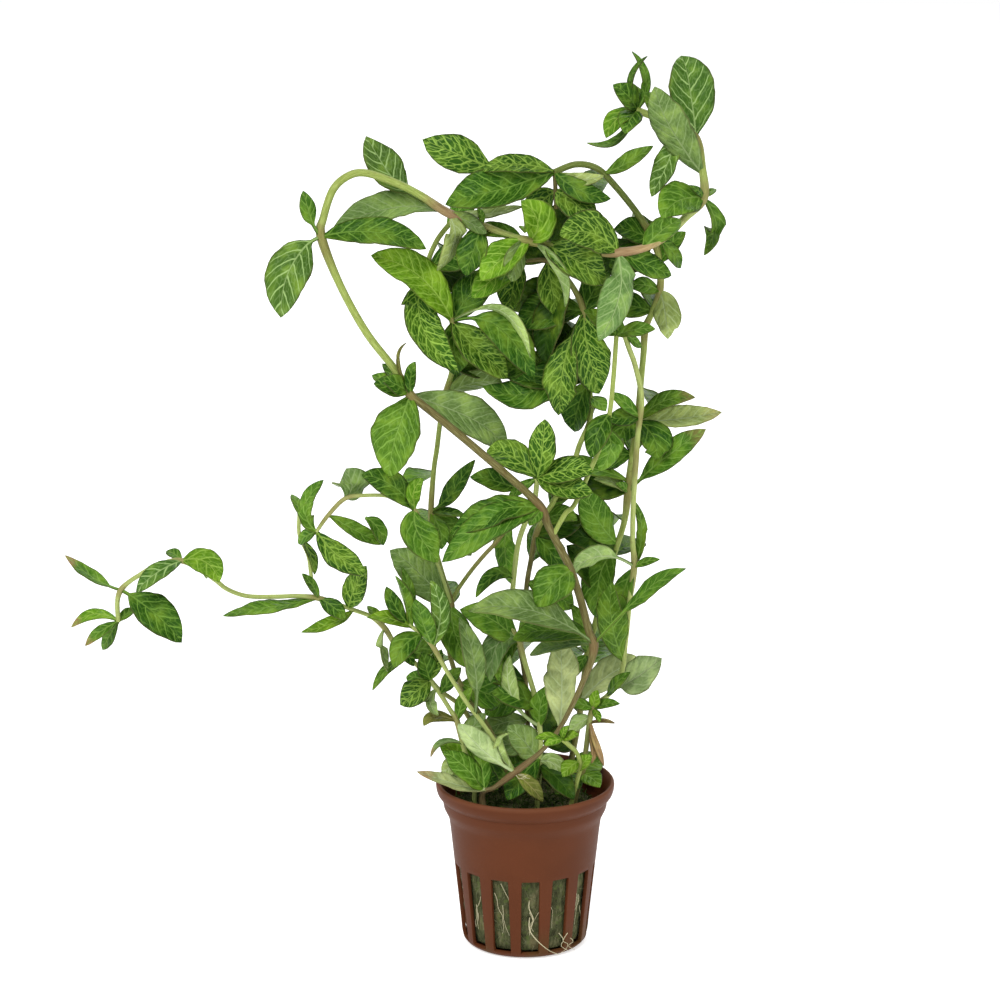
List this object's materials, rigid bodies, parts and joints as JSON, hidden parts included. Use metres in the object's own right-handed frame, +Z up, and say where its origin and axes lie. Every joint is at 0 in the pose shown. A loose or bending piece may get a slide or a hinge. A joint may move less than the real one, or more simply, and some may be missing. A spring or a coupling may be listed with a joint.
{
  "type": "potted hygrophila",
  "caption": "Leafy aquarium stem plant with one long arching stem and a dense crown, standing in a stone wool plug inside a slotted terracotta brown net pot.",
  "frame": {"origin": "centre of the pot's foot, on the surface that the pot stands on", "axes": "+Z up along the pot's axis, -Y the front as in the picture, +X to the right as seen from the front, so the long trailing stem reaches towards -X"},
  "size_m": [0.1903, 0.0698, 0.2631],
  "materials": {
    "terracotta_plastic": "satin moulded plastic",
    "stone_wool": "matt damp fibre",
    "leaf_green": "satin leaf with pale net veins",
    "pale_leaf_green": "satin leaf with pale net veins"
  },
  "bodies": {
    "root": {"net_pot": "terracotta_plastic", "stone_wool_plug": "stone_wool", "tall_arching_stem": "leaf_green", "left_forked_stem": "leaf_green", "low_left_stem": "leaf_green", "middle_dark_stem": "leaf_green", "right_green_stem": "leaf_green", "left_trailing_stem": "pale_leaf_green", "middle_pale_stem": "pale_leaf_green", "right_pale_stem": "pale_leaf_green", "short_bright_shoot": "pale_leaf_green"}
  },
  "joints": []
}
